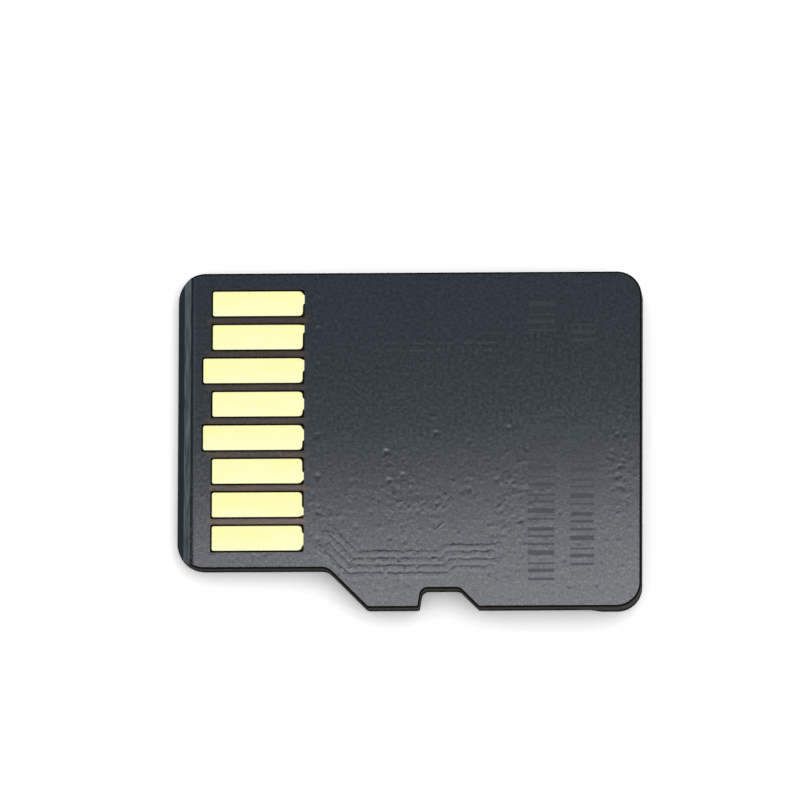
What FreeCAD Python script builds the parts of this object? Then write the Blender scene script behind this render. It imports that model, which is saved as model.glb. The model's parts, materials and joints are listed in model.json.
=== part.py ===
import FreeCAD, Part
import math
import os
from FreeCAD import Vector

# A memory card, contact side up. Lengths are in millimetres.
# "Along" counts from the leading edge to the rear, "across" from the notch edge to the straight edge.

# Plan outline
card_length = 15.0
card_width = 11.0
front_width = 9.7
leading_corner_radius = 0.9
rear_corner_radius = 0.8
step_end = 6.16
step_angle = 45.0
step_inner_radius = 0.45
step_outer_radius = 0.2
notch_start = 7.83
notch_lean = 0.1
notch_depth = 0.62
notch_floor_end = 9.13
notch_slope_angle = 45.0
notch_inner_radius = 0.22
notch_outer_radius = 0.08
arc_share = 0.4

# Section: label face, grip lip and ground leading edge
body_thickness = 0.7
grip_height = 0.3
grip_length = 1.84
grip_arc_radius = 30.0
grip_ramp_angle = 45.0
grip_ramp_radius = 0.2
rim_break = 0.05
bevel_length = 0.47
bevel_angle = 33.0
nose_radius = 0.12

# Board layers on the contact side
mask_thickness = 0.03
mask_setback = 0.055
laminate_thickness = 0.14
copper_thickness = 0.02
relief_height = 0.006
relief_flare = 0.03

# Contacts: name, whether it reaches further forward, and its neck's offset across and width
contact_table = [
    ("contact_1_data_2", False, -0.04, 0.34),
    ("contact_2_data_3", False, -0.235, 0.2),
    ("contact_3_command", False, -0.17, 0.2),
    ("contact_4_supply", True, 0.08, 0.3),
    ("contact_5_clock", False, 0.0, 0.3),
    ("contact_6_ground", True, 0.17, 0.3),
    ("contact_7_data_0", False, 0.275, 0.2),
    ("contact_8_data_1", False, 0.136, 0.24),
]
contact_pitch = 1.1
contact_width = 0.8
contact_start = 1.135
contact_end = 4.04
long_contact_lead = 0.3
contact_corner_radius = 0.06
window_clearance = 0.055
neck_length = 0.5

# Traces and vias under the mask, the far lanes counted back from the straight edge
trace_width = 0.1
trace_pitch = 0.24
via_pad_diameter = 0.2
via_barrel_diameter = 0.1
via_sides = 8
via_stagger = 0.28
lane_count = 4
lane_corner = (5.78, 1.79)
lane_entry_length = 0.95
lane_jog_at = 8.48
lane_jog_rise = 0.2
lane_end = 10.4
slant_count = 8
slant_start = (6.95, 3.2)
slant_pitch = 0.23
slant_length = 0.5
far_lane_count = 2
far_lane_start = 6.6
far_lane_inset = 2.25
far_lane_length = 3.9
loose_vias = [(6.76, 5.12), (7.29, 4.36), (6.85, 4.18), (10.72, 5.88), (8.37, 5.73), (6.89, 2.29), (8.52, 2.6)]

# Dies, films and wires inside
film_thickness = 0.02
memory_die_count = 2
memory_length = 8.6
memory_width = 7.6
memory_thickness = 0.09
memory_start = 5.5
memory_side_gap = 1.2
memory_setback = 0.45
controller_length = 2.3
controller_width = 3.0
controller_thickness = 0.1
controller_start = 1.4
wire_thickness = 0.025
wire_loop = 0.07
wire_shoulder = 0.6
wire_inset = 0.1
memory_wire_count = 8
memory_wire_pitch = 0.8
controller_wire_count = 6
controller_wire_pitch = 0.45
finger_length = 0.3
finger_width = 0.1
finger_gap = 0.25

# Chip capacitors on the board's inner face: place along, and offset across from the contacts' middle
capacitor_length = 0.6
capacitor_width = 0.3
capacitor_cap_length = 0.15
capacitor_places = [(2.0, 3.05), (3.4, 3.05), (2.6, -2.85)]

# Heights above the lip's underside, and other derived places
label_face = grip_height
contact_face = grip_height + body_thickness
laminate_top = contact_face - mask_thickness
laminate_bottom = laminate_top - laminate_thickness
copper_top = laminate_top + copper_thickness
inner_copper_face = laminate_bottom - copper_thickness
front_edge = card_width - front_width
contact_centre = front_edge + front_width / 2
slant = math.sin(math.radians(45))
tiny = 1e-4
up = Vector(0, 0, 1)
across_axis = Vector(0, 1, 0)


def at(along, across, height=0.0):
    """Point of the card in its own frame, whose origin is the bottom centre of its box."""
    return Vector(along - card_length / 2, across - card_width / 2, height)


def rounded_wire(corners):
    """Closed wire through (point, radius) corners, each rounded by a tangent arc that fits its two sides."""
    points = [point for point, radius in corners]
    ends = []
    for index, (point, radius) in enumerate(corners):
        back = points[index - 1] - point
        ahead = points[(index + 1) % len(points)] - point
        half_angle = back.getAngle(ahead) / 2
        reach = min(radius / math.tan(half_angle), arc_share * min(back.Length, ahead.Length))
        back.normalize()
        ahead.normalize()
        middle_axis = (back + ahead).normalize()
        arc_radius = reach * math.tan(half_angle)
        middle = point + middle_axis * (arc_radius / math.sin(half_angle) - arc_radius)
        ends.append((point + back * reach, middle, point + ahead * reach))
    edges = []
    for index, (start, middle, end) in enumerate(ends):
        edges.append(Part.LineSegment(ends[index - 1][2], start).toShape())
        if corners[index][1] > 0:
            edges.append(Part.Arc(start, middle, end).toShape())
    return Part.Wire(edges)


def strip_face(points, width, normal):
    """Face of constant width along a bent centre line, with mitred bends and square ends."""
    sides = [normal.cross(end - start).normalize() for start, end in zip(points, points[1:])]
    befores = [sides[0]] + sides
    afters = sides + [sides[-1]]
    mitres = [(a + b) * (width / 2 / (1 + a.dot(b))) for a, b in zip(befores, afters)]
    left = [point + mitre for point, mitre in zip(points, mitres)]
    right = [point - mitre for point, mitre in zip(points, mitres)]
    loop = left + right[::-1]
    return Part.Face(Part.makePolygon(loop + loop[:1]))


def block(along, across, length, width, bottom, top):
    """Box whose low corner is at (along, across)."""
    return Part.makeBox(length, width, top - bottom, at(along, across, bottom))


def layer(face, bottom, top):
    """Plan face, drawn at height zero, thickened between two heights."""
    return face.translated(up * bottom).extrude(up * (top - bottom))


def joined(solids):
    """One solid from pieces that overlap or share faces, without seams."""
    return solids[0].fuse(solids[1:]).removeSplitter() if len(solids) > 1 else solids[0]


def outline_face():
    """Plan outline with the sloped step and the latch notch in the notch edge."""
    step_run = front_edge / math.tan(math.radians(step_angle))
    notch_run = notch_depth / math.tan(math.radians(notch_slope_angle))
    return Part.Face(rounded_wire([
        (at(0, card_width), leading_corner_radius),
        (at(0, front_edge), leading_corner_radius),
        (at(step_end - step_run, front_edge), step_inner_radius),
        (at(step_end, 0), step_outer_radius),
        (at(notch_start, 0), notch_outer_radius),
        (at(notch_start + notch_lean, notch_depth), notch_inner_radius),
        (at(notch_floor_end, notch_depth), notch_inner_radius),
        (at(notch_floor_end + notch_run, 0), notch_outer_radius),
        (at(card_length, 0), rear_corner_radius),
        (at(card_length, card_width), rear_corner_radius),
    ]))


def side_profile():
    """Side view of the card without its lip, run across the whole width: ground bevel and round nose."""
    bevel_drop = bevel_length * math.tan(math.radians(bevel_angle))
    side = Part.Face(rounded_wire([
        (at(bevel_length, 0, contact_face), 0),
        (at(0, 0, contact_face - bevel_drop), nose_radius),
        (at(0, 0, label_face), 0),
        (at(card_length, 0, label_face), 0),
        (at(card_length, 0, contact_face), 0),
    ]))
    return side.extrude(across_axis * card_width)


def grip_lip(outline):
    """Lip across the rear of the label side, with a long curved front and a sloped ramp."""
    ramp_run = grip_height / math.tan(math.radians(grip_ramp_angle))
    centre = at(card_length - grip_length + grip_arc_radius, card_width / 2)
    inside_arc = Part.makeCone(grip_arc_radius, grip_arc_radius + ramp_run, grip_height, centre)
    return layer(outline, 0, grip_height).common(inside_arc)


def ramp_edges(solid):
    """Long arcs at the foot and the crest of the lip's ramp."""
    arcs = [edge for edge in solid.Edges if isinstance(edge.Curve, Part.Circle)]
    return [arc for arc in arcs if arc.Curve.Radius > grip_arc_radius - tiny]


def rim_edges(solid):
    """Edges where the upright cut walls meet the label face, the ramp and the lip's underside."""
    walls = [face for face in solid.Faces if abs(face.BoundBox.ZMax - laminate_bottom) < tiny]
    uses = [edge.hashCode() for wall in walls for edge in wall.Edges]
    low_edges = [edge for edge in solid.Edges if edge.BoundBox.ZMax < label_face + tiny]
    return [edge for edge in low_edges if uses.count(edge.hashCode()) == 1]


def moulded_body(outline, profile, inner_pieces):
    """Epoxy compound moulded over everything on the board's inner face."""
    slab = layer(outline, label_face, laminate_bottom).common(profile)
    blank = joined([slab, grip_lip(outline)]).Solids[0]
    blank = blank.makeFillet(grip_ramp_radius, ramp_edges(blank)).Solids[0]
    return blank.makeChamfer(rim_break, rim_edges(blank)).cut(inner_pieces)


def contact_along(is_long):
    """Leading end of a contact."""
    return contact_start - long_contact_lead if is_long else contact_start


def contact_across(index):
    """Centre of a contact, counted from the notch edge."""
    return contact_centre + (index - (len(contact_table) - 1) / 2) * contact_pitch


def contact_face_plan(index, is_long, margin, corner_radius):
    """Plan of a contact, or of its window with a margin all round."""
    first = contact_along(is_long) - margin
    last = contact_end + margin
    low = contact_across(index) - contact_width / 2 - margin
    high = low + contact_width + 2 * margin
    corners = [at(first, low), at(last, low), at(last, high), at(first, high)]
    return Part.Face(rounded_wire([(corner, corner_radius) for corner in corners]))


def neck_route(index, offset):
    """Centre line of the neck from inside a contact's end to its via."""
    across = contact_across(index) + offset
    return [at(contact_end - contact_corner_radius, across), at(contact_end + neck_length, across)]


def lane_routes():
    """Bundle that comes down from the contacts, runs along the notch edge and jogs round the notch."""
    routes = []
    for lane in range(lane_count):
        shift = lane * trace_pitch * math.tan(math.radians(22.5))
        entry = (lane_entry_length + lane % 2 * via_stagger) * slant
        along = lane_corner[0] - shift
        across = lane_corner[1] - lane * trace_pitch
        jog = lane_jog_at + shift
        end = lane_end - lane % 2 * via_stagger
        routes.append([
            at(along - entry, across + entry),
            at(along, across),
            at(jog, across),
            at(jog + lane_jog_rise, across + lane_jog_rise),
            at(end, across + lane_jog_rise),
        ])
    return routes


def slant_routes():
    """Short parallel traces that cross the middle of the card at 45 degrees."""
    along, across = slant_start
    reach = slant_length * slant
    starts = [along + index * slant_pitch for index in range(slant_count)]
    return [[at(start, across), at(start + reach, across + reach)] for start in starts]


def far_lane_routes():
    """Straight traces near the straight edge."""
    levels = [card_width - far_lane_inset - lane * trace_pitch for lane in range(far_lane_count)]
    ends = [far_lane_start + far_lane_length - lane * via_stagger for lane in range(far_lane_count)]
    return [[at(far_lane_start, level), at(end, level)] for level, end in zip(levels, ends)]


def via_discs(places, diameter, bottom, top):
    """Upright many-sided discs at plan places, with flats facing along and across the card."""
    turn = 2 * math.pi / via_sides
    reach = diameter / 2 / math.cos(turn / 2)
    spokes = [Vector(math.cos(turn * (side + 0.5)), math.sin(turn * (side + 0.5))) for side in range(via_sides)]
    rings = [[place + spoke * reach for spoke in spokes] for place in places]
    return [layer(Part.Face(Part.makePolygon(ring + ring[:1])), bottom, top) for ring in rings]


def route_solid(route, width, pad_places, pad_diameter, top):
    """Copper strip along a route with via pads on it, from the board's face up to a height."""
    strip = layer(strip_face(route, width, up), laminate_top, top)
    return joined([strip] + via_discs(pad_places, pad_diameter, laminate_top, top))


def contact(index, is_long, offset, neck_width):
    """Gold-plated contact with its neck and via pad."""
    plan = contact_face_plan(index, is_long, 0, contact_corner_radius)
    route = neck_route(index, offset)
    neck = route_solid(route, neck_width, route[-1:], max(neck_width, via_pad_diameter), copper_top)
    return joined([layer(plan, laminate_top, copper_top), neck])


def trace_solids(widening, top):
    """Every trace and loose via pad, widened by an allowance and reaching up to a height."""
    width = trace_width + 2 * widening
    pad = via_pad_diameter + 2 * widening
    lanes = lane_routes() + far_lane_routes()
    solids = [route_solid(route, width, [route[0], route[-1]], pad, top) for route in lanes]
    solids += [route_solid(route, width, [], pad, top) for route in slant_routes()]
    return solids + via_discs([at(*place) for place in loose_vias], pad, laminate_top, top)


def via_places():
    """Every via: contact necks, lane ends and loose ones."""
    necks = [neck_route(index, row[2])[-1] for index, row in enumerate(contact_table)]
    lanes = lane_routes() + far_lane_routes()
    ends = [end for route in lanes for end in (route[0], route[-1])]
    return necks + ends + [at(*place) for place in loose_vias]


def solder_mask(outline, profile, copper):
    """Coat that follows the copper in low relief and leaves a window round each contact."""
    sheet = layer(outline.makeOffset2D(-mask_setback), laminate_top, contact_face).common(profile)
    relief_top = contact_face + relief_height
    windows = []
    for index, row in enumerate(contact_table):
        plan = contact_face_plan(index, row[1], window_clearance, contact_corner_radius)
        windows.append(layer(plan, laminate_top, relief_top))
    return joined([sheet] + trace_solids(relief_flare, relief_top)).cut(windows + copper)


def die_stack():
    """Films and dies by name, hung under the board's inner face, with the memory dies stepped back."""
    low = card_width - memory_side_gap - memory_width
    pieces = {}
    level = laminate_bottom
    for index in range(memory_die_count):
        along = memory_start + index * memory_setback
        film_face = level - film_thickness
        level = film_face - memory_thickness
        number = index + 1
        pieces[f"memory_film_{number}"] = block(along, low, memory_length, memory_width, film_face,
                                                film_face + film_thickness)
        pieces[f"memory_die_{number}"] = block(along, low, memory_length, memory_width, level, film_face)
    low = contact_centre - controller_width / 2
    film_face = laminate_bottom - film_thickness
    die_face = film_face - controller_thickness
    pieces["controller_film"] = block(controller_start, low, controller_length, controller_width,
                                      film_face, laminate_bottom)
    pieces["controller_die"] = block(controller_start, low, controller_length, controller_width,
                                     die_face, film_face)
    return pieces


def wire_rows(count, pitch, middle):
    """Places across the card of a row of bond wires."""
    return [middle + (index - (count - 1) / 2) * pitch for index in range(count)]


def bond_wires(rows, die_end, far_end):
    """Looped wires from a die to a face set further back: a rise, a level run to the shoulder, a slope."""
    loop_level = die_end[1] - wire_loop
    shoulder = die_end[0] + wire_shoulder * (far_end[0] - die_end[0])
    solids = []
    for across in rows:
        low = across - wire_thickness / 2
        route = [
            at(die_end[0], low, die_end[1]),
            at(die_end[0], low, loop_level),
            at(shoulder, low, loop_level),
            at(far_end[0], low, far_end[1] - wire_thickness),
            at(far_end[0], low, far_end[1]),
        ]
        solids.append(strip_face(route, wire_thickness, across_axis).extrude(across_axis * wire_thickness))
    return solids


def wires_and_fingers():
    """Bond wires by name, and the bond fingers that their board ends stand on."""
    memory_rows = wire_rows(memory_wire_count, memory_wire_pitch,
                            card_width - memory_side_gap - memory_width / 2)
    controller_rows = wire_rows(controller_wire_count, controller_wire_pitch, contact_centre)
    memory_faces = [laminate_bottom - (index + 1) * (film_thickness + memory_thickness)
                    for index in range(memory_die_count)]
    controller_face = laminate_bottom - film_thickness - controller_thickness
    memory_finger = memory_start - finger_gap - finger_length
    controller_end = controller_start + controller_length
    controller_finger = controller_end + finger_gap
    wires = {"controller_wires": bond_wires(
        controller_rows, (controller_end - wire_inset, controller_face),
        (controller_finger + finger_length / 2, inner_copper_face))}
    wires["memory_wires_1"] = bond_wires(
        memory_rows, (memory_start + wire_inset, memory_faces[0]),
        (memory_finger + finger_length / 2, inner_copper_face))
    for index in range(1, memory_die_count):
        step = memory_start + index * memory_setback
        wires[f"memory_wires_{index + 1}"] = bond_wires(
            memory_rows, (step + wire_inset, memory_faces[index]),
            (step - wire_inset, memory_faces[index - 1]))
    fingers = []
    for first, rows in ((memory_finger, memory_rows), (controller_finger, controller_rows)):
        fingers += [block(first, across - finger_width / 2, finger_length, finger_width,
                          inner_copper_face, laminate_bottom) for across in rows]
    return wires, fingers


def capacitors():
    """Ceramic bodies, end caps and copper lands of the chip capacitors."""
    bodies = []
    caps = []
    lands = []
    bottom = inner_copper_face - capacitor_width
    middle_length = capacitor_length - 2 * capacitor_cap_length
    for along, offset in capacitor_places:
        first = along - capacitor_length / 2
        low = contact_centre + offset - capacitor_width / 2
        bodies.append(block(first + capacitor_cap_length, low, middle_length, capacitor_width,
                            bottom, inner_copper_face))
        for end in (first, first + capacitor_length - capacitor_cap_length):
            caps.append(block(end, low, capacitor_cap_length, capacitor_width, bottom, inner_copper_face))
            lands.append(block(end, low, capacitor_cap_length, capacitor_width,
                               inner_copper_face, laminate_bottom))
    return bodies, caps, lands


def build():
    """Every piece of the card by node name."""
    outline = outline_face()
    profile = side_profile()
    wires, fingers = wires_and_fingers()
    bodies, caps, lands = capacitors()
    groups = dict(wires, inner_copper=fingers + lands, capacitor_bodies=bodies, capacitor_end_caps=caps)
    nodes = die_stack()
    nodes.update({name: Part.makeCompound(solids) for name, solids in groups.items()})
    inner_pieces = [solid for shape in nodes.values() for solid in shape.Solids]
    contacts = {row[0]: contact(index, *row[1:]) for index, row in enumerate(contact_table)}
    traces = trace_solids(0, copper_top)
    barrels = via_discs(via_places(), via_barrel_diameter, laminate_bottom, laminate_top)
    nodes.update(contacts)
    nodes["signal_traces"] = Part.makeCompound(traces)
    nodes["via_barrels"] = Part.makeCompound(barrels)
    nodes["solder_mask"] = solder_mask(outline, profile, list(contacts.values()) + traces)
    nodes["board_laminate"] = layer(outline, laminate_bottom, laminate_top).common(profile).cut(barrels)
    nodes["moulded_body"] = moulded_body(outline, profile, inner_pieces)
    return nodes


os.makedirs("parts", exist_ok=True)
for node_name, node_shape in build().items():
    node_shape.exportStep(f"parts/{node_name}.step")
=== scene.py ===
import json
import math
import random

import bpy
from mathutils import Matrix, Vector, geometry, noise
from mathutils.bvhtree import BVHTree
from mathutils.kdtree import KDTree


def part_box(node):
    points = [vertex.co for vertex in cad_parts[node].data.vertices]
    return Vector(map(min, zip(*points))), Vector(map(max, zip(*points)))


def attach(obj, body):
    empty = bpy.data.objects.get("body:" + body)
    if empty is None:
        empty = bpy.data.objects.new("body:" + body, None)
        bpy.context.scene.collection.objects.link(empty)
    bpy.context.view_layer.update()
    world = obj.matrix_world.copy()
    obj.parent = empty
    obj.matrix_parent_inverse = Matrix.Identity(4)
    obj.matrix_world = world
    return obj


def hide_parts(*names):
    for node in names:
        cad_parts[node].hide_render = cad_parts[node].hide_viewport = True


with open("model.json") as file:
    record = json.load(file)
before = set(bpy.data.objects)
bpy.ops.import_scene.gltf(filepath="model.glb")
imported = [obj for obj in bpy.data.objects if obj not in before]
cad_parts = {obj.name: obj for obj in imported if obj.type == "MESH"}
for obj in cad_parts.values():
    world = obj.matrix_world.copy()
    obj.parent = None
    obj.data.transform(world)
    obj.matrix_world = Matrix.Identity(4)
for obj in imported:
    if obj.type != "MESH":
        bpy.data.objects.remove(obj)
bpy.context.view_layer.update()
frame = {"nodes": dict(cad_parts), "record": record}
nodes = frame["nodes"]
mounts = {mount["name"]: Vector(mount["pos_m"]) for mount in frame["record"]["mounts"]}
contact_names = sorted(name for name in nodes if name.startswith("contact_"))

# A memory card, contact side up, on a white table. The frame is in metres, and sizes here are in millimetres.
mm = 0.001
hair = 1e-4
merge_gap = 1e-6
plan_digits = 5

# Directions: X runs along the card from the contacts to the grip lip, Y across it away from the notch edge
up = (0, 0, 1)
upward_share = 0.9

# Camera, where the photograph was taken from
camera_roll = 0.319
camera_yaw = -3.0
camera_pitch = -10.5
camera_distance = 600.0
camera_target = (-0.3031, 1.3098, 1.0)
camera_clip = (10.0, 2000.0)
pixels_per_mm = 30.97
photo_width = 800
sensor_width = 36.0

# Light: a white room, brighter to the rear and the far side, and a strip lamp that glosses the coat
room_lean = (0.42, 0.32, 0.0)
strip_height = 60.0
strip_length = 100.0
strip_turn = 5.0
strip_near_edge = -2.5
strip_far_edge = -13.0
strip_middle = 3.0
strip_level = 8.5
strip_tint = (1.0, 1.0, 1.05)

# Table top: its size, its brightness to the card and to the camera, and the nose's least gap to the crest
table_size = 600.0
table_albedo = 0.9
table_camera_albedo = 1.3
crest_clear = 1.0

# Coat of solder mask: heights read from the frame, and how close its points lie
coat_face = mounts["contact_face"].z / mm
board_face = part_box("board_laminate")[1].z / mm
copper_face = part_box(contact_names[0])[1].z / mm
coat_step = 0.05
coat_fine_step = 0.025
coat_fine_reach = 0.08
rim_step = 0.05
rim_rows = (0.012, 0.03)
grid_gap = 0.05
wall_reach = 1.0
triangles_inside = 1

# Relief of the coat over the traces: patchy, wavering, and weaker away from the notch edge
relief_height = 0.0012
relief_flare = 0.05
relief_fade_places = (-3.2, -2.2)
relief_fade_shares = (1.3, 0.7)
relief_patches = 0.8
relief_patch_layer = 5.0
trace_drift = 0.035
trace_drift_cells = 4.0
trace_drift_layer = 3.0
trace_drift_seed = 1

# Pits in the coat over the vias that no trace leaves
via_barrel_reach = 0.12
via_look = 0.15
via_look_count = 8
via_pit_depth = (0.002, 0.006)
via_pit_reach = 0.13

# Slight waves all over the coat, and one short raised scratch
peel_height = 0.0003
peel_cells = 2.2
scar_ends = ((0.82, -3.0), (1.1, -2.74))
scar_reach = 0.03
scar_height = 0.003
scar_clear = 0.4

# Stain in the webs between the windows, dust towards the notch edge, and the dull rim beside the bevel
window_stain_reach = 0.25
window_stain_gain = 1.4
dust_edge = (-3.0, 0.0)
ground_edge_reach = 0.08

# Patches of small bumps and pits in the resin: place along and across, spread along and across, count
bump_patches = (
    (0.0, 0.0, 4.0, 3.0, 400),
    (-0.2, -2.0, 1.4, 0.9, 320),
    (-2.6, -2.6, 0.5, 0.5, 50),
    (3.5, -2.7, 0.6, 1.1, 450),
    (6.8, -1.3, 0.3, 0.9, 180),
    (5.4, -4.4, 1.2, 0.7, 300),
    (-0.5, -4.6, 0.9, 0.5, 90),
    (-0.9, -4.1, 1.0, 0.35, 140),
    (-5.0, -3.8, 1.0, 0.25, 60),
)
bump_height = 0.001
bump_reach = (0.05, 0.12)
bump_seed = 4

# Contacts: where along the card their inner ends begin to be worn round, and how much
wear_start = -3.9
wear_step = 0.01
wear_count = 12

# Marking: two rows of plain etched bars, each in two stretches: place and height along, start and end across
mark_rows = (
    (3.84, 0.86, -4.62, 0.9),
    (3.84, 0.86, 3.55, 4.57),
    (5.21, 0.77, -4.14, 0.5),
    (5.21, 0.77, 3.2, 3.9),
)
mark_bars = (0.08, 0.12, 0.06, 0.16, 0.08)
mark_gaps = (0.18, 0.14, 0.24, 0.16)

# Ground bevel at the leading edge, and the band of painted shade at the foot of the sawn walls, standing in
# for the table's contact shadow; the foot drops at the grip lip
bevel_facing = (-0.545, 0.0, 0.839)
bevel_run = (coat_face - board_face) * bevel_facing[2] / bevel_facing[0]
label_face = mounts["label_face"].z / mm
lip_front = (5.3, 5.7)
painted_foot_shade = (0.1, 0.5)

# Finishes: bands that most of a grain lies in, the colours of sawn resin, and the mix node's colour sockets
grain_band = (0.3, 0.7)
narrow_band = (0.35, 0.65)
speck_band = (0.5, 0.7)
sawn_colours = ((0.036, 0.036, 0.034), (0.085, 0.085, 0.081))
colour_mix_inputs = (0, 6, 7)
colour_mix_output = 2


def fade(distance, reach):
    """1 at no distance, falling smoothly to 0 at the reach."""
    share = min(distance / reach, 1.0)
    return (1 - share) ** 2 * (1 + 2 * share)


def pairs(ring):
    """Each item of a ring with the next one."""
    return list(zip(ring, ring[1:] + ring[:1]))


def plan_key(place):
    """Place in plan, rounded so that the same place always compares as equal."""
    return round(place.x, plan_digits), round(place.y, plan_digits)


def level_loops(name, level):
    """Closed plan loops round the surface of a node at one height, with the surface to their left."""
    mesh = nodes[name].data
    edges = {}
    for face in mesh.polygons:
        corners = [mesh.vertices[index].co / mm for index in face.vertices]
        if all(abs(corner.z - level) < hair for corner in corners):
            edges.update(dict.fromkeys(pairs([plan_key(corner) for corner in corners])))
    following = {start: end for start, end in edges if (end, start) not in edges}
    loops = []
    while following:
        first, point = following.popitem()
        loop = [first]
        while point != first:
            loop.append(point)
            point = following.pop(point)
        loops.append([Vector(place) for place in loop])
    return loops


def span(loop):
    """Low and high plan corners of a loop."""
    return (Vector((min(p.x for p in loop), min(p.y for p in loop))),
            Vector((max(p.x for p in loop), max(p.y for p in loop))))


def diagonal(loop):
    """Length across the corners of a loop's box."""
    low, high = span(loop)
    return (high - low).length


def encloses(loop, place):
    """Whether a loop's box holds a plan place."""
    low, high = span(loop)
    return low.x < place.x < high.x and low.y < place.y < high.y


def dense(loop, step):
    """Loop with points at most about one step apart."""
    points = []
    for start, end in pairs(loop):
        count = max(1, round((end - start).length / step))
        points += [start.lerp(end, index / count) for index in range(count)]
    return points


def inset(loop, distance):
    """Points of a loop moved to its left."""
    moved = []
    for index, point in enumerate(loop):
        ahead = (loop[(index + 1) % len(loop)] - loop[index - 1]).normalized()
        moved.append(point + Vector((-ahead.y, ahead.x)) * distance)
    return moved


def rim_edges(faces):
    """Edges, in the faces' own direction, that only one face has."""
    edges = {edge for face in faces for edge in pairs(face)}
    return [edge for edge in edges if edge[::-1] not in edges]


def plan_triangles(loops, marks=(), places=()):
    """Triangles in plan, inside the first loop and outside the rest: points, triangles, which are marks."""
    points = []
    rings = []
    for loop in [*loops, *marks]:
        rings.append(list(range(len(points), len(points) + len(loop))))
        points += loop
    holes = set(range(1, len(loops)))
    rings = [ring[::-1] if index in holes else ring for index, ring in enumerate(rings)]
    made = geometry.delaunay_2d_cdt([*points, *places], [], rings, triangles_inside, merge_gap, True)
    kept = [(face, max(origin) > 0) for face, origin in zip(made[2], made[5])
            if 0 in origin and not holes.intersection(origin)]
    used = sorted({index for face, marked in kept for index in face})
    renumber = {old: new for new, old in enumerate(used)}
    triangles = [[renumber[index] for index in face] for face, marked in kept]
    return [made[0][index] for index in used], triangles, [marked for face, marked in kept]


def wall_tree(loops, height):
    """Upright walls on plan loops, for distances in plan."""
    low = height - wall_reach
    high = height + wall_reach
    corners = []
    for loop in loops:
        for start, end in pairs(loop):
            corners += [(*start, low), (*end, low), (*end, high), (*start, high)]
    faces = [list(range(first, first + 4)) for first in range(0, len(corners), 4)]
    return BVHTree.FromPolygons(corners, faces)


def copper_tree(skipped=()):
    """Upper faces of the traces under the coat, without those of skipped vias, for distances in plan."""
    mesh = nodes["signal_traces"].data
    corners = [vertex.co / mm for vertex in mesh.vertices]
    upper = [face for face in mesh.polygons if face.normal.z > upward_share]
    kept = [face for face in upper if all((face.center.xy / mm - via).length > via_look for via in skipped)]
    return BVHTree.FromPolygons(corners, [list(face.vertices) for face in kept])


def gap_to(tree, place, height):
    """Distance from a plan place, at a height, to the nearest face of a tree."""
    return tree.find_nearest((*place, height))[3]


def via_places():
    """Centres of the via barrels in plan."""
    groups = []
    for vertex in nodes["via_barrels"].data.vertices:
        place = vertex.co.xy / mm
        near = [group for group in groups if (group[0] - place).length < via_barrel_reach]
        if near:
            near[0].append(place)
        else:
            groups.append([place])
    return [sum(span(group), Vector((0, 0))) / 2 for group in groups]


def stands_alone(via, copper):
    """Whether no trace leaves a via's pad."""
    turns = [math.tau * count / via_look_count for count in range(via_look_count)]
    around = [via + Vector((math.cos(turn), math.sin(turn))) * via_look for turn in turns]
    return all(gap_to(copper, place, copper_face) > hair for place in around)


def resin_spots(vias):
    """Tree of the coat's bumps and via pits in plan, with the height and reach of each."""
    chance = random.Random(bump_seed)
    places = [via for via in vias if (via - Vector(scar_ends[0])).length > scar_clear]
    sizes = [(-chance.uniform(*via_pit_depth), via_pit_reach) for via in places]
    for along, across, along_spread, across_spread, count in bump_patches:
        for index in range(count):
            places.append(Vector((chance.gauss(along, along_spread), chance.gauss(across, across_spread))))
            sizes.append((chance.gauss(0, bump_height), chance.uniform(*bump_reach)))
    tree = KDTree(len(places))
    for index, place in enumerate(places):
        tree.insert((*place, 0), index)
    tree.balance()
    return tree, sizes


def trace_rise(place, copper):
    """Height that the traces give the coat at a plan place."""
    first, last = relief_fade_places
    near_share, far_share = relief_fade_shares
    way = min(max((place.y - first) / (last - first), 0), 1)
    patchy = 1 + relief_patches * noise.noise(Vector((*place, relief_patch_layer)))
    relief = relief_height * patchy * (near_share + (far_share - near_share) * way)
    drift = noise.noise_vector(Vector((*place, trace_drift_layer)) * trace_drift_cells).xy * trace_drift
    return fade(gap_to(copper, place + drift, copper_face), relief_flare) * relief


def peel_rise(place):
    """Height of the slight waves at a plan place."""
    return noise.noise(Vector((*place, 0)) * peel_cells) * peel_height


def scar_rise(place):
    """Height of the scratch at a plan place."""
    start, end = [Vector(corner) for corner in scar_ends]
    share = min(max(geometry.intersect_point_line(place, start, end)[1], 0), 1)
    return fade((place - start.lerp(end, share)).length, scar_reach) * scar_height


def spot_rise(place, spots, sizes):
    """Height that bumps and pits give the coat at a plan place."""
    near = [(*sizes[index], gap) for spot, index, gap in spots.find_range((*place, 0), via_pit_reach)]
    return sum(height * fade(gap, reach) for height, reach, gap in near)


def coat_heights(places, copper):
    """Height of the coat's outer face over each plan place."""
    vias = [via for via in via_places() if stands_alone(via, copper)]
    raised = copper_tree(vias)
    noise.seed_set(trace_drift_seed)
    spots, sizes = resin_spots(vias)
    return [coat_face + trace_rise(place, raised) + peel_rise(place) + scar_rise(place)
            + spot_rise(place, spots, sizes) for place in places]


def staggered(low, high, step):
    """Plan points of a staggered grid over a box."""
    row_step = step * math.sqrt(3) / 2
    rows = int((high.y - low.y) / row_step)
    columns = int((high.x - low.x) / step)
    return [Vector((low.x + (column + row % 2 / 2) * step, low.y + row * row_step))
            for row in range(rows) for column in range(columns)]


def mark_loops():
    """Rectangles of the etched bars, stretch by stretch."""
    loops = []
    for along, height, across, end in mark_rows:
        count = 0
        while across + mark_bars[count % len(mark_bars)] < end:
            width = mark_bars[count % len(mark_bars)]
            corners = ((0, 0), (height, 0), (height, width), (0, width))
            loops.append([Vector((along + x, across + y)) for x, y in corners])
            across += width + mark_gaps[count % len(mark_gaps)]
            count += 1
    return loops


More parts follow.
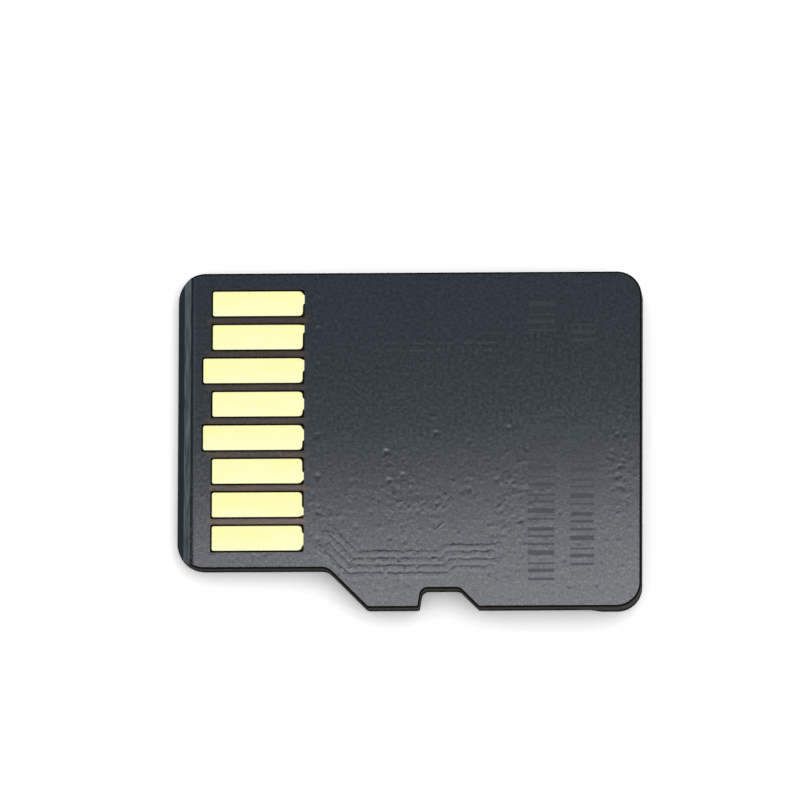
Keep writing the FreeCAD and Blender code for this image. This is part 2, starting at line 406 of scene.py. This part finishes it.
def coat_loops():
    """Outline of the coat and its windows, as dense loops with the coat to their left."""
    loops = level_loops("solder_mask", coat_face)
    outline = max(loops, key=diagonal)
    middles = [(sum(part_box(name), Vector()) / 2 / mm).xy for name in contact_names]
    others = [loop for loop in loops if loop is not outline]
    windows = [loop for loop in others if any(encloses(loop, middle) for middle in middles)]
    return [dense(loop, rim_step) for loop in [outline] + windows]


def coat_places(loops, copper, walls):
    """Plan points inside the coat: rows along its rims, and a grid that is finer over the copper."""
    low, high = span(loops[0])
    rows = [point for loop in loops for distance in rim_rows for point in inset(loop, distance)]
    grid = []
    for step, near_copper in ((coat_step, False), (coat_fine_step, True)):
        for place in staggered(low, high, step):
            suits = (gap_to(copper, place, copper_face) < coat_fine_reach) == near_copper
            if suits and gap_to(walls, place, coat_face) > grid_gap:
                grid.append(place)
    return rows + grid


def box_gap(place, box):
    """Distance in plan from a place to a box."""
    low, high = box
    along = max(low.x - place.x, place.x - high.x, 0)
    across = max(low.y - place.y, place.y - high.y, 0)
    return Vector((along, across)).length


def window_stain(place, boxes):
    """Stain of the thin coat in the narrow webs, where it is near two windows."""
    second_gap = sorted(box_gap(place, box) for box in boxes)[1]
    return min(fade(second_gap, window_stain_reach) * window_stain_gain, 1.0)


def coat_shares(places, loops):
    """Shares that the coat's finish reads at each place: stain in the webs, and wear beside the bevel."""
    boxes = [span(loop) for loop in loops[1:]]
    leading_edge = span(loops[0])[0].x
    return {
        "stain": [window_stain(place, boxes) for place in places],
        "ground": [fade(place.x - leading_edge, ground_edge_reach) for place in places],
    }


def rim_foot(place, leading_edge):
    """Place on the board under a point of the coat's rim, which is further out on the bevel."""
    if place.x - leading_edge < hair:
        return place + Vector((bevel_run, 0))
    return place


def coat_underside(loops, feet):
    """Faces that close the coat on the board, from the index of the foot under each point of its rims."""
    points, triangles, marked = plan_triangles(loops)
    foot_at = {plan_key(place): index for place, index in feet}
    return [[foot_at[plan_key(points[index])] for index in face[::-1]] for face in triangles]


def new_piece(name, corners, faces):
    """New object in the scene, from corners in millimetres."""
    mesh = bpy.data.meshes.new(name)
    mesh.from_pydata([Vector(corner) * mm for corner in corners], [], faces)
    piece = bpy.data.objects.new(name, mesh)
    bpy.context.collection.objects.link(piece)
    return piece


def dress_coat(mesh, marked, shares):
    """Gives the coat a smooth outer face, its two finishes and the shares that they read."""
    hidden_count = len(mesh.polygons) - len(marked)
    mesh.polygons.foreach_set("use_smooth", [True] * len(marked) + [False] * hidden_count)
    for finish in (mask_finish(), etched_finish()):
        mesh.materials.append(finish.material)
    mesh.polygons.foreach_set("material_index", [int(mark) for mark in marked] + [0] * hidden_count)
    for name, values in shares.items():
        attribute = mesh.attributes.new(name, "FLOAT", "POINT")
        attribute.data.foreach_set("value", values)


def mask_coat():
    """Coat over the board with its relief, windows and etched bars, closed by skirts and an underside."""
    loops = coat_loops()
    copper = copper_tree()
    marks = [dense(loop, rim_step) for loop in mark_loops()]
    places = coat_places(loops, copper, wall_tree(loops + marks, coat_face))
    plan, faces, marked = plan_triangles(loops, marks, places)
    rim = rim_edges(faces)
    foot = {start: len(plan) + count for count, start in enumerate(sorted(start for start, end in rim))}
    rim_plan = [plan[start] for start in foot]
    leading_edge = span(loops[0])[0].x
    corners = [(*place, height) for place, height in zip(plan, coat_heights(plan, copper))]
    corners += [(*rim_foot(place, leading_edge), board_face) for place in rim_plan]
    skirt = [[end, start, foot[start], foot[end]] for start, end in rim]
    underside = coat_underside(loops, zip(rim_plan, foot.values()))
    coat = new_piece("mask_coat", corners, faces + skirt + underside)
    dress_coat(coat.data, marked, coat_shares(plan + rim_plan, loops))
    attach(coat, "root")
    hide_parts("solder_mask")
    return coat


def worn(loop):
    """Loop of a contact with the corners of its inner end worn round, by averaging along it."""
    points = dense(loop, wear_step)
    count = len(points)
    moves = range(-wear_count, wear_count + 1)
    soft = [sum((points[(index + move) % count] for move in moves), Vector((0, 0))) / len(moves)
            for index in range(count)]
    return [mean if point.x > wear_start else point for point, mean in zip(points, soft)]


def worn_contact(name):
    """Contact with a worn inner end, as a closed plate that stands for the node."""
    loops = sorted(level_loops(name, copper_face), key=diagonal)
    plan, top, marked = plan_triangles([worn(loops[-1])] + loops[:-1])
    count = len(plan)
    sides = [[end, start, start + count, end + count] for start, end in rim_edges(top)]
    bottom = [[index + count for index in face[::-1]] for face in top]
    corners = [(*place, level) for level in (copper_face, board_face) for place in plan]
    plate = new_piece("worn_" + name, corners, top + bottom + sides)
    plate.data.materials.append(nodes[name].material_slots[0].material)
    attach(plate, "root")
    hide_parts(name)


class Graph:
    """Nodes of a finish or of the room, with short ways to add to them."""

    def __init__(self, tree):
        self.tree = tree

    def feed(self, socket, value):
        """Links a socket to another one, or sets it to a constant."""
        if isinstance(value, bpy.types.NodeSocket):
            self.tree.links.new(value, socket)
        else:
            socket.default_value = value

    def node(self, kind, inputs, **settings):
        """New node with its settings and inputs."""
        made = self.tree.nodes.new(kind)
        for name, value in settings.items():
            setattr(made, name, value)
        for socket, value in inputs.items():
            self.feed(made.inputs[socket], value)
        return made

    def math(self, operation, first, second):
        """Result of a sum on two values."""
        return self.node("ShaderNodeMath", {0: first, 1: second}, operation=operation).outputs[0]

    def along(self, vector, direction):
        """How far a vector reaches along a direction."""
        made = self.node("ShaderNodeVectorMath", {0: vector, 1: direction}, operation="DOT_PRODUCT")
        return made.outputs["Value"]

    def carry(self, value, low, high, first, last):
        """Value carried from one range to another, and held at its ends."""
        ends = {"Value": value, "From Min": low, "From Max": high, "To Min": first, "To Max": last}
        return self.node("ShaderNodeMapRange", ends).outputs["Result"]

    def background_share(self):
        """1 for rays that show the background: from the camera, gloss or glass."""
        path = self.node("ShaderNodeLightPath", {})
        share = path.outputs["Is Camera Ray"]
        for ray in ("Is Glossy Ray", "Is Transmission Ray"):
            share = self.math("MAXIMUM", share, path.outputs[ray])
        return share


class Finish(Graph):
    """Procedural material: one shader, fed by noise that is measured in cells to the millimetre."""

    def __init__(self, name, sockets):
        self.material = bpy.data.materials.new(name)
        self.material.use_nodes = True
        super().__init__(self.material.node_tree)
        self.shader = self.tree.nodes["Principled BSDF"]
        for socket, value in sockets.items():
            self.set(socket, value)

    def set(self, socket, value):
        """Feeds one of the shader's own sockets."""
        self.feed(self.shader.inputs[socket], value)

    def place(self, kind="Object"):
        """Coordinates of the surface."""
        return self.node("ShaderNodeTexCoord", {}).outputs[kind]

    def grain(self, cells, stretch=(1, 1, 1), detail=2.0):
        """Noise from 0 to 1."""
        scale = [cells * share / mm for share in stretch]
        spot = self.node("ShaderNodeVectorMath", {0: self.place(), 1: scale}, operation="MULTIPLY")
        made = self.node("ShaderNodeTexNoise", {"Vector": spot.outputs[0], "Scale": 1.0, "Detail": detail})
        return made.outputs["Fac"]

    def spread(self, grain, first=0.0, last=1.0, band=grain_band):
        """Grain carried to a range, from the band that most of it lies in."""
        return self.carry(grain, *band, first, last)

    def mix(self, share, first, second):
        """Colour between two colours."""
        ends = [end if isinstance(end, bpy.types.NodeSocket) else (*end, 1.0) for end in (first, second)]
        inputs = dict(zip(colour_mix_inputs, (share, *ends)))
        return self.node("ShaderNodeMix", inputs, data_type="RGBA").outputs[colour_mix_output]

    def facing(self, direction, low, high):
        """1 where the surface faces a direction, 0 where it turns away from it."""
        normal = self.node("ShaderNodeNewGeometry", {}).outputs["True Normal"]
        return self.carry(self.along(normal, direction), low, high, 0.0, 1.0)

    def axis(self, name):
        """Place on one axis, in millimetres."""
        axes = self.node("ShaderNodeSeparateXYZ", {0: self.place()})
        return self.math("DIVIDE", axes.outputs[name], mm)

    def share(self, attribute):
        """Share from 0 to 1 that the mesh holds at each point."""
        return self.node("ShaderNodeAttribute", {}, attribute_name=attribute).outputs["Fac"]

    def vary(self, grain, colours, roughness):
        """Colour and roughness that follow one grain."""
        self.set("Base Color", self.mix(grain, *colours))
        self.set("Roughness", self.spread(grain, *roughness))

    def bump(self, *layers):
        """Lays (height, depth in millimetres) layers over each other."""
        normal = None
        for height, depth in layers:
            made = self.node("ShaderNodeBump", {"Height": height, "Distance": depth * mm, "Strength": 1.0})
            if normal:
                self.feed(made.inputs["Normal"], normal)
            normal = made.outputs["Normal"]
        self.set("Normal", normal)


def mask_finish():
    """Satin grey-black solder mask: tan in the webs, dusty towards the notch edge, dull beside the bevel."""
    finish = Finish("mask", {"IOR": 1.36})
    cloud = finish.spread(finish.grain(0.6, detail=4.0), band=narrow_band)
    speckle = finish.spread(finish.grain(9.0, detail=3.0))
    pale = finish.mix(cloud, (0.0020, 0.0082, 0.0130), (0.0034, 0.0100, 0.0152))
    plain_tone = finish.mix(speckle, (0.0, 0.0036, 0.0072), pale)
    near_notch = finish.carry(finish.axis("Y"), *dust_edge, 1.0, 0.0)
    specks = finish.spread(finish.grain(11.0, detail=4.0), band=speck_band)
    body = finish.mix(finish.math("MULTIPLY", near_notch, specks), plain_tone, (0.046, 0.043, 0.041))
    streaks = finish.spread(finish.grain(6.0, stretch=(0.12, 1, 1), detail=3.0), 0.6, 1.15, narrow_band)
    stain = finish.math("MULTIPLY", finish.share("stain"), streaks)
    tan = finish.mix(near_notch, (0.038, 0.018, 0.005), (0.085, 0.030, 0.001))
    finish.set("Base Color", finish.mix(stain, body, tan))
    satin = finish.spread(finish.grain(9.0, detail=4.0), 0.13, 0.21)
    finish.set("Roughness", finish.math("ADD", finish.share("ground"), satin))
    finish.bump((finish.grain(9.0), 0.0005), (finish.grain(18.0), 0.0003))
    return finish


def etched_finish():
    """Solder mask dulled by the marking laser."""
    finish = Finish("etched_mask", {"IOR": 1.32})
    finish.vary(finish.grain(10.0), ((0.0003, 0.005, 0.009), (0.002, 0.007, 0.011)), (0.26, 0.32))
    finish.bump((finish.grain(25.0), 0.0003))
    return finish


def gold_finish():
    """Bright gold plating with a painted highlight, paler towards each contact's notch-side edge and yellower
    towards its far side, with random cloudy tone and faint wipe marks along the card.
    """
    finish = Finish("gold_plating", {"Metallic": 1.0})
    wipes = finish.grain(12.0, stretch=(0.04, 1, 1), detail=3.0)
    across = finish.node("ShaderNodeSeparateXYZ", {0: finish.place("Generated")}).outputs["Y"]
    cloud = finish.spread(finish.grain(1.5, stretch=(0.5, 1, 1), detail=4.0), -0.35, 0.35)
    painted_sheen_and_tone = finish.math("ADD", across, cloud)
    # Painted highlight: each contact's colour pales towards its notch-side edge, where brighter light is
    # reflected, plus random cloudy tone.
    finish.set("Base Color", finish.mix(painted_sheen_and_tone, (1.0, 1.0, 0.60), (1.0, 0.975, 0.46)))
    finish.set("Roughness", finish.spread(wipes, 0.04, 0.07))
    finish.bump((wipes, 0.00005))
    return finish


def laminate_finish():
    """Dark glass-epoxy board: sawn walls, and a paler, streaked band where the leading bevel is ground."""
    finish = Finish("board_resin", {"Specular IOR Level": 0.0})
    fibres = finish.grain(9.0, stretch=(1, 0.25, 3), detail=3.0)
    bare = finish.mix(fibres, (0.004, 0.004, 0.003), (0.018, 0.013, 0.008))
    sawn = finish.mix(fibres, *sawn_colours)
    streaks = finish.spread(finish.grain(22.0, stretch=(1, 0.06, 1), detail=4.0), band=narrow_band)
    ground = finish.mix(streaks, (0.048, 0.060, 0.064), (0.118, 0.140, 0.149))
    walls = finish.mix(finish.facing(up, 0.5, 0.9), sawn, bare)
    finish.set("Base Color", finish.mix(finish.facing(bevel_facing, 0.9, 0.97), walls, ground))
    finish.set("Roughness", finish.spread(fibres, 0.45, 0.65))
    finish.bump((streaks, 0.002), (fibres, 0.002))
    return finish


def compound_finish():
    """Black moulding compound: fine filler specks, sawn walls with painted shade darkening their foot, a
    ground nose.
    """
    finish = Finish("moulding_compound", {"Specular IOR Level": 0.0, "Coat Roughness": 0.45})
    specks = finish.grain(30.0, detail=4.0)
    saw = finish.grain(10.0, stretch=(1, 1, 0.12), detail=3.0)
    sawn_share = finish.facing(up, -0.3, -0.05)
    ground_share = finish.facing(up, 0.1, 0.3)
    moulded = finish.mix(specks, (0.006, 0.006, 0.007), (0.018, 0.018, 0.019))
    foot = finish.carry(finish.axis("X"), *lip_front, label_face, 0.0)
    rise = finish.math("SUBTRACT", finish.axis("Z"), foot)
    plain_tone = finish.mix(saw, *sawn_colours)
    # Painted shade: the sawn walls go nearly black towards their foot, standing in for the contact shadow
    # next to the table.
    sawn = finish.mix(finish.carry(rise, *painted_foot_shade, 0.0, 1.0), (0.008, 0.008, 0.007), plain_tone)
    ground = finish.mix(saw, (0.014, 0.022, 0.027), (0.030, 0.040, 0.046))
    walls = finish.mix(sawn_share, moulded, sawn)
    finish.set("Base Color", finish.mix(ground_share, walls, ground))
    finish.set("Coat Weight", finish.carry(sawn_share, 0.0, 1.0, 0.6, 0.0))
    finish.set("Roughness", finish.spread(specks, 0.6, 0.72))
    finish.bump((specks, 0.0015), (saw, 0.002))
    return finish


def copper_finish():
    """Etched copper of the traces, vias and inner lands."""
    finish = Finish("etched_copper", {"Metallic": 1.0})
    grain = finish.grain(18.0, detail=3.0)
    finish.vary(grain, ((0.72, 0.30, 0.17), (0.90, 0.46, 0.29)), (0.3, 0.45))
    finish.bump((grain, 0.0008))
    return finish


def silicon_finish():
    """Polished grey silicon of the dies."""
    finish = Finish("polished_silicon", {"Metallic": 0.6})
    finish.vary(finish.grain(1.5, detail=4.0), ((0.10, 0.11, 0.13), (0.16, 0.17, 0.20)), (0.14, 0.24))
    finish.bump((finish.grain(40.0), 0.0002))
    return finish


def film_finish():
    """Amber die attach film."""
    finish = Finish("attach_film", {"IOR": 1.5})
    finish.vary(finish.grain(2.0, detail=4.0), ((0.32, 0.19, 0.06), (0.45, 0.29, 0.11)), (0.4, 0.55))
    finish.bump((finish.grain(15.0), 0.001))
    return finish


def wire_finish():
    """Drawn gold of the bond wires."""
    finish = Finish("drawn_gold", {"Metallic": 1.0})
    draw = finish.grain(60.0, stretch=(0.1, 1, 1))
    finish.vary(draw, ((0.85, 0.58, 0.18), (0.98, 0.76, 0.34)), (0.18, 0.3))
    finish.bump((draw, 0.0004))
    return finish


def ceramic_finish():
    """Fired tan ceramic of the capacitors."""
    finish = Finish("fired_ceramic", {"IOR": 1.6})
    grain = finish.grain(25.0, detail=4.0)
    finish.vary(grain, ((0.30, 0.20, 0.13), (0.46, 0.34, 0.24)), (0.45, 0.6))
    finish.bump((grain, 0.002))
    return finish


def tin_finish():
    """Matt tin of the capacitors' end caps."""
    finish = Finish("matt_tin", {"Metallic": 1.0})
    grain = finish.grain(30.0, detail=3.0)
    finish.vary(grain, ((0.55, 0.55, 0.54), (0.76, 0.76, 0.75)), (0.35, 0.5))
    finish.bump((grain, 0.001))
    return finish


def dress_nodes():
    """Gives every node of the frame the finish of its material slot."""
    finishes = {
        "compound": compound_finish(),
        "laminate": laminate_finish(),
        "gold": gold_finish(),
        "copper": copper_finish(),
        "silicon": silicon_finish(),
        "film": film_finish(),
        "wire": wire_finish(),
        "capacitor_ceramic": ceramic_finish(),
        "tin": tin_finish(),
    }
    for node in nodes.values():
        for slot in node.material_slots:
            if slot.material.name in finishes:
                slot.material = finishes[slot.material.name].material


def place_camera():
    """Camera at the photograph's viewing angle, and where its eye is."""
    turn = (Matrix.Rotation(math.radians(camera_roll), 3, "Z")
            @ Matrix.Rotation(math.radians(camera_yaw), 3, "Y")
            @ Matrix.Rotation(math.radians(camera_pitch), 3, "X")).transposed()
    eye = Vector(camera_target) + turn @ Vector((0, 0, camera_distance))
    data = bpy.data.cameras.new("camera")
    data.sensor_fit = "HORIZONTAL"
    data.sensor_width = sensor_width
    data.lens = sensor_width * camera_distance * pixels_per_mm / photo_width
    data.clip_start, data.clip_end = [clip * mm for clip in camera_clip]
    camera = bpy.data.objects.new("camera", data)
    camera.matrix_world = Matrix.Translation(eye * mm) @ turn.to_4x4()
    bpy.context.collection.objects.link(camera)
    bpy.context.scene.camera = camera
    return eye


def place_strip_lamp(eye, coat):
    """Strip lamp that glosses the coat alone, between two lines that the eye would see mirrored in it."""
    edges = []
    for across in (strip_near_edge, strip_far_edge):
        spot = Vector((strip_middle, across, coat_face))
        ray = spot - eye
        edges.append(spot + Vector((ray.x, ray.y, -ray.z)) * (strip_height / -ray.z))
    data = bpy.data.lights.new("strip_lamp", "AREA")
    data.shape = "RECTANGLE"
    data.size = strip_length * mm
    data.size_y = (edges[0] - edges[1]).length * mm
    data.energy = strip_level * math.pi * data.size * data.size_y
    data.color = strip_tint
    lamp = bpy.data.objects.new("strip_lamp", data)
    lamp.location = (edges[0] + edges[1]) / 2 * mm
    lamp.rotation_euler.z = math.radians(strip_turn)
    lamp.visible_camera = False
    bpy.context.collection.objects.link(lamp)
    receivers = bpy.data.collections.new("strip_receivers")
    receivers.objects.link(coat)
    lamp.light_linking.receiver_collection = receivers


def light_room():
    """White surroundings that light the card at a plain level."""
    world = bpy.data.worlds.new("room")
    world.use_nodes = True
    room = Graph(world.node_tree)
    direction = room.node("ShaderNodeTexCoord", {}).outputs["Generated"]
    level = room.math("ADD", room.along(direction, room_lean), 1.0)
    background = room.tree.nodes["Background"]
    room.feed(background.inputs["Color"], (1, 1, 1, 1))
    room.feed(background.inputs["Strength"], room.carry(room.background_share(), 0.0, 1.0, level, 1.0))
    bpy.context.scene.world = world


def table_slope():
    """Crest of the card's lip, and slope of a table that touches this crest and the card's nose."""
    corners = [vertex.co / mm for vertex in nodes["moulded_body"].data.vertices]
    crest = min(corner.x for corner in corners if corner.z < hair)
    ahead = [corner for corner in corners if corner.x < crest - crest_clear]
    return crest, min(corner.z / (crest - corner.x) for corner in ahead)


def place_table():
    """Pale table top that keeps the card's shadow."""
    crest, slope = table_slope()
    half = table_size / 2
    sides = ((-half, -half), (half, -half), (half, half), (-half, half))
    table = new_piece("table", [(x, y, (crest - x) * slope) for x, y in sides], [(0, 1, 2, 3)])
    finish = Finish("table_white", {"Roughness": 0.9, "Specular IOR Level": 0.0})
    level = finish.carry(finish.background_share(), 0.0, 1.0, table_albedo, table_camera_albedo)
    finish.set("Base Color", level)
    table.data.materials.append(finish.material)


bpy.context.scene.view_settings.view_transform = "Standard"
light_room()
place_table()
dress_nodes()
for contact_name in contact_names:
    worn_contact(contact_name)
place_strip_lamp(place_camera(), mask_coat())
